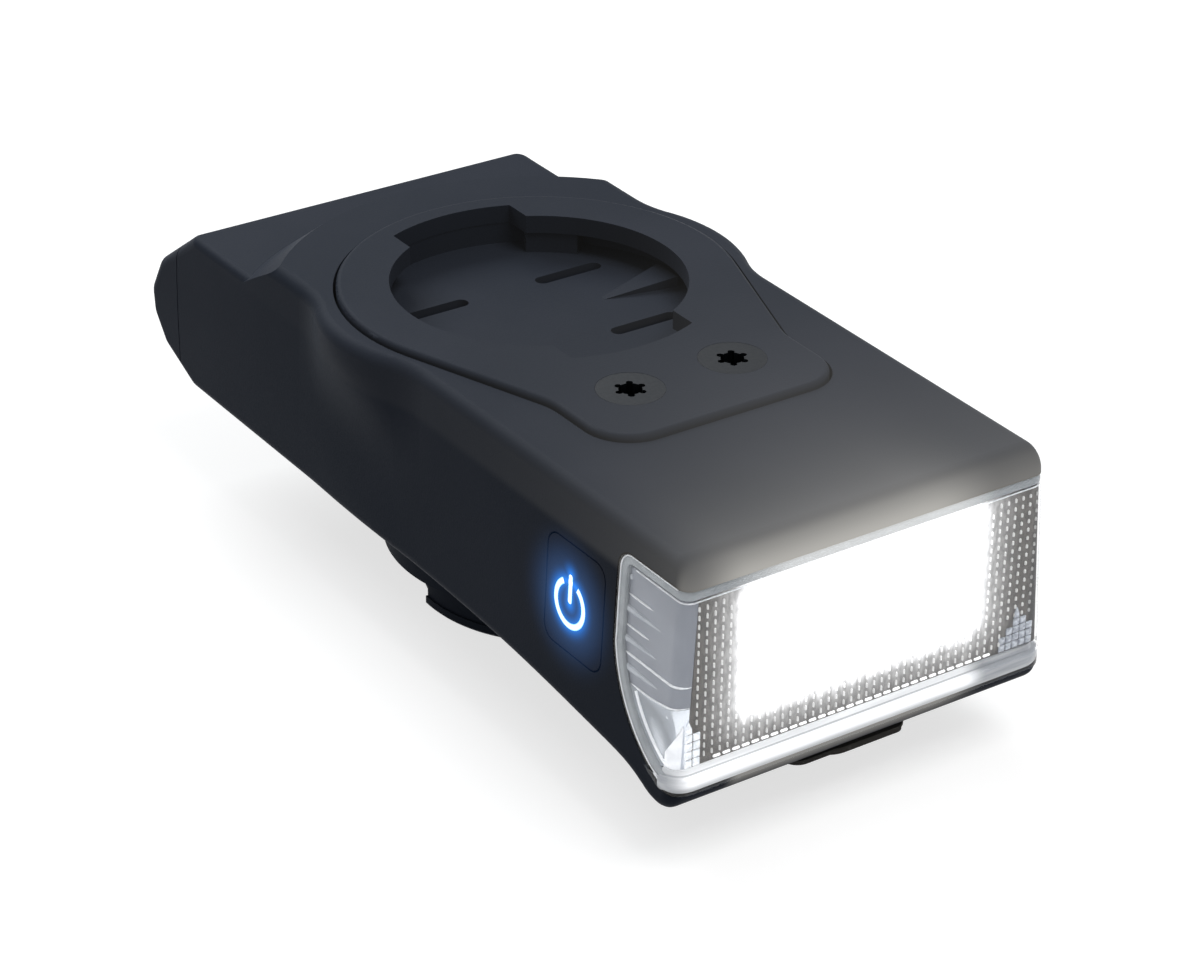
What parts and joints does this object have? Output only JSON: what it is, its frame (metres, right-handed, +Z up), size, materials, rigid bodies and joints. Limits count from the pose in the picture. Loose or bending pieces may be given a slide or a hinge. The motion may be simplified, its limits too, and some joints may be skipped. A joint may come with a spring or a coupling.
{
  "type": "bicycle headlight with mount",
  "caption": "Slim bicycle headlight with a wrap-round clear lens, a quarter-turn socket on top for a computer and a quarter-turn foot below for a mount.",
  "frame": {"origin": "on the foot's end face, below the socket's centre", "axes": "+Z up along the socket's axis, -Y the way the beam points, +X to the side away from the power button"},
  "size_m": [0.0398, 0.0862, 0.028],
  "materials": {
    "housing_plastic": "fine matte",
    "cap_plastic": "fine matte",
    "seal_rubber": "matte",
    "black_screw_steel": "black oxide",
    "nut_brass": "machined",
    "lens_clear": "polished clear plastic",
    "gasket_black": "satin",
    "panel_clear": "frosted clear plastic",
    "reflector_bright": "vacuum metallised",
    "guide_clear": "ribbed clear plastic",
    "led_board_white": "white solder mask",
    "emitter_yellow": "phosphor",
    "sink_aluminium": "as extruded",
    "battery_wrap": "shrink sleeve",
    "pad_foam": "foam",
    "connector_white": "moulded",
    "lead_red": "insulation",
    "board_green": "solder mask",
    "chip_black": "moulded",
    "small_screw_steel": "plated",
    "ribbon_white": "flat cable",
    "switch_black": "moulded",
    "plunger_white": "moulded",
    "button_led_clear": "clear resin",
    "socket_steel": "stamped",
    "button_plastic": "fine matte",
    "mark_blue": "lit translucent plastic",
    "cover_rubber": "matte",
    "insert_plastic": "fine matte, glass filled",
    "foot_plastic": "fine matte, glass filled"
  },
  "bodies": {
    "base": {"main_housing": "housing_plastic", "rear_cap": "cap_plastic", "rear_cap_seal": "seal_rubber", "rear_cap_screws": "black_screw_steel", "rear_cap_nuts": "nut_brass", "front_lens": "lens_clear", "lens_gasket": "gasket_black", "prism_panel": "panel_clear", "reflector": "reflector_bright", "left_light_guide": "guide_clear", "right_light_guide": "guide_clear", "led_board": "led_board_white", "led_emitters": "emitter_yellow", "heat_sink": "sink_aluminium", "battery_pack": "battery_wrap", "battery_pads": "pad_foam", "battery_connector": "connector_white", "battery_leads": "lead_red", "main_board": "board_green", "board_chips": "chip_black", "board_screws": "small_screw_steel", "front_board": "board_green", "board_ribbon": "ribbon_white", "push_switch": "switch_black", "button_led": "button_led_clear", "led_leads": "lead_red", "usb_socket": "socket_steel", "button_seal": "seal_rubber", "port_cover_anchor": "cover_rubber", "mount_insert": "insert_plastic", "insert_screws": "black_screw_steel", "insert_nuts": "nut_brass", "mount_foot": "foot_plastic", "foot_screws": "small_screw_steel", "foot_nuts": "nut_brass"},
    "button": {"power_button": "button_plastic", "button_light_guide": "mark_blue", "switch_plunger": "plunger_white"},
    "cover": {"port_cover": "cover_rubber"}
  },
  "joints": [
    {"name": "button_press", "type": "slide", "parent": "base", "child": "button", "axis": [1, 0, 0], "range_m": [0, 0.0004], "stiffness_N_per_m": 800},
    {"name": "cover_hinge", "type": "hinge", "parent": "base", "child": "cover", "pos_m": [0, -0.02665, 0.0063], "axis": [1, 0, 0], "range_deg": [0, 100]}
  ]
}
